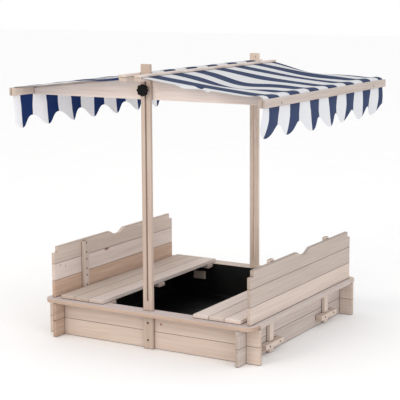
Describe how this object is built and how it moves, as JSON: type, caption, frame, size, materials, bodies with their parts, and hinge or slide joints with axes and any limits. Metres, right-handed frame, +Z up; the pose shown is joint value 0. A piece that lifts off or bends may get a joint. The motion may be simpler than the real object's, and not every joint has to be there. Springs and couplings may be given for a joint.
{
  "type": "sandbox with cover",
  "caption": "Square wooden plank sandbox with benches whose backrests lift out to become the lid, and a striped cloth canopy that slides on slotted posts.",
  "frame": {"origin": "on the ground, in the middle of the square box", "axes": "+Z up, +X towards the right bench, +Y towards the back post"},
  "size_m": [1.2424, 1.2, 1.21],
  "materials": {
    "box_wood": "raw sawn and planed fir",
    "post_wood": "raw planed fir",
    "seat_wood": "raw planed fir",
    "backrest_wood": "raw planed fir",
    "canopy_wood": "raw planed fir",
    "striped_cloth": "woven polyester, navy and white stripes",
    "ground_sheet": "thin black sheet",
    "dark_screws": "black phosphated steel",
    "knob_plastic": "moulded, fine grain",
    "zinc_steel": "zinc plated",
    "insert_brass": "turned"
  },
  "bodies": {
    "box": {"back_post": "post_wood", "back_rim_board": "box_wood", "back_wall_lower": "box_wood", "back_wall_upper": "box_wood", "box_screws": "dark_screws", "front_post": "post_wood", "front_rim_board": "box_wood", "front_wall_lower": "box_wood", "front_wall_upper": "box_wood", "ground_liner": "ground_sheet", "left_leg_keepers": "box_wood", "left_rim_board": "box_wood", "left_seat_cleats": "seat_wood", "left_seat_inner_plank": "seat_wood", "left_seat_middle_plank": "seat_wood", "left_seat_outer_plank": "seat_wood", "left_wall_lower": "box_wood", "left_wall_upper": "box_wood", "liner_clamp_blocks": "box_wood", "right_leg_keepers": "box_wood", "right_rim_board": "box_wood", "right_seat_cleats": "seat_wood", "right_seat_inner_plank": "seat_wood", "right_seat_middle_plank": "seat_wood", "right_seat_outer_plank": "seat_wood", "right_wall_lower": "box_wood", "right_wall_upper": "box_wood"},
    "canopy": {"back_clamp_bolt": "zinc_steel", "back_gable_board": "canopy_wood", "canopy_screws": "dark_screws", "clamp_washers": "zinc_steel", "front_clamp_bolt": "zinc_steel", "front_gable_board": "canopy_wood", "left_eave_rail": "canopy_wood", "left_eave_strip": "canopy_wood", "left_ridge_bar": "canopy_wood", "left_ridge_strip": "canopy_wood", "left_valance": "striped_cloth", "right_eave_rail": "canopy_wood", "right_eave_strip": "canopy_wood", "right_ridge_bar": "canopy_wood", "right_ridge_strip": "canopy_wood", "right_valance": "striped_cloth", "roof_fabric": "striped_cloth"},
    "front_clamp_knob": {"front_knob": "knob_plastic", "front_knob_insert": "insert_brass"},
    "back_clamp_knob": {"back_knob": "knob_plastic", "back_knob_insert": "insert_brass"},
    "left_backrest": {"left_backrest_back_leg": "backrest_wood", "left_backrest_front_leg": "backrest_wood", "left_backrest_lower_plank": "backrest_wood", "left_backrest_middle_plank": "backrest_wood", "left_backrest_screws": "dark_screws", "left_backrest_upper_plank": "backrest_wood"},
    "right_backrest": {"right_backrest_back_leg": "backrest_wood", "right_backrest_front_leg": "backrest_wood", "right_backrest_lower_plank": "backrest_wood", "right_backrest_middle_plank": "backrest_wood", "right_backrest_screws": "dark_screws", "right_backrest_upper_plank": "backrest_wood"}
  },
  "joints": [
    {"name": "canopy_height", "type": "slide", "parent": "box", "child": "canopy", "axis": [0, 0, 1], "range_m": [-0.5, 0.03]},
    {"name": "front_knob_turn", "type": "hinge", "parent": "canopy", "child": "front_clamp_knob", "pos_m": [0, -0.49, 1.104], "axis": [0, -1, 0], "continuous": true},
    {"name": "back_knob_turn", "type": "hinge", "parent": "canopy", "child": "back_clamp_knob", "pos_m": [0, 0.49, 1.104], "axis": [0, 1, 0], "continuous": true},
    {"name": "left_backrest_lift", "type": "slide", "parent": "box", "child": "left_backrest", "axis": [0, 0, 1], "range_m": [0, 0.1]},
    {"name": "right_backrest_lift", "type": "slide", "parent": "box", "child": "right_backrest", "axis": [0, 0, 1], "range_m": [0, 0.1]}
  ]
}
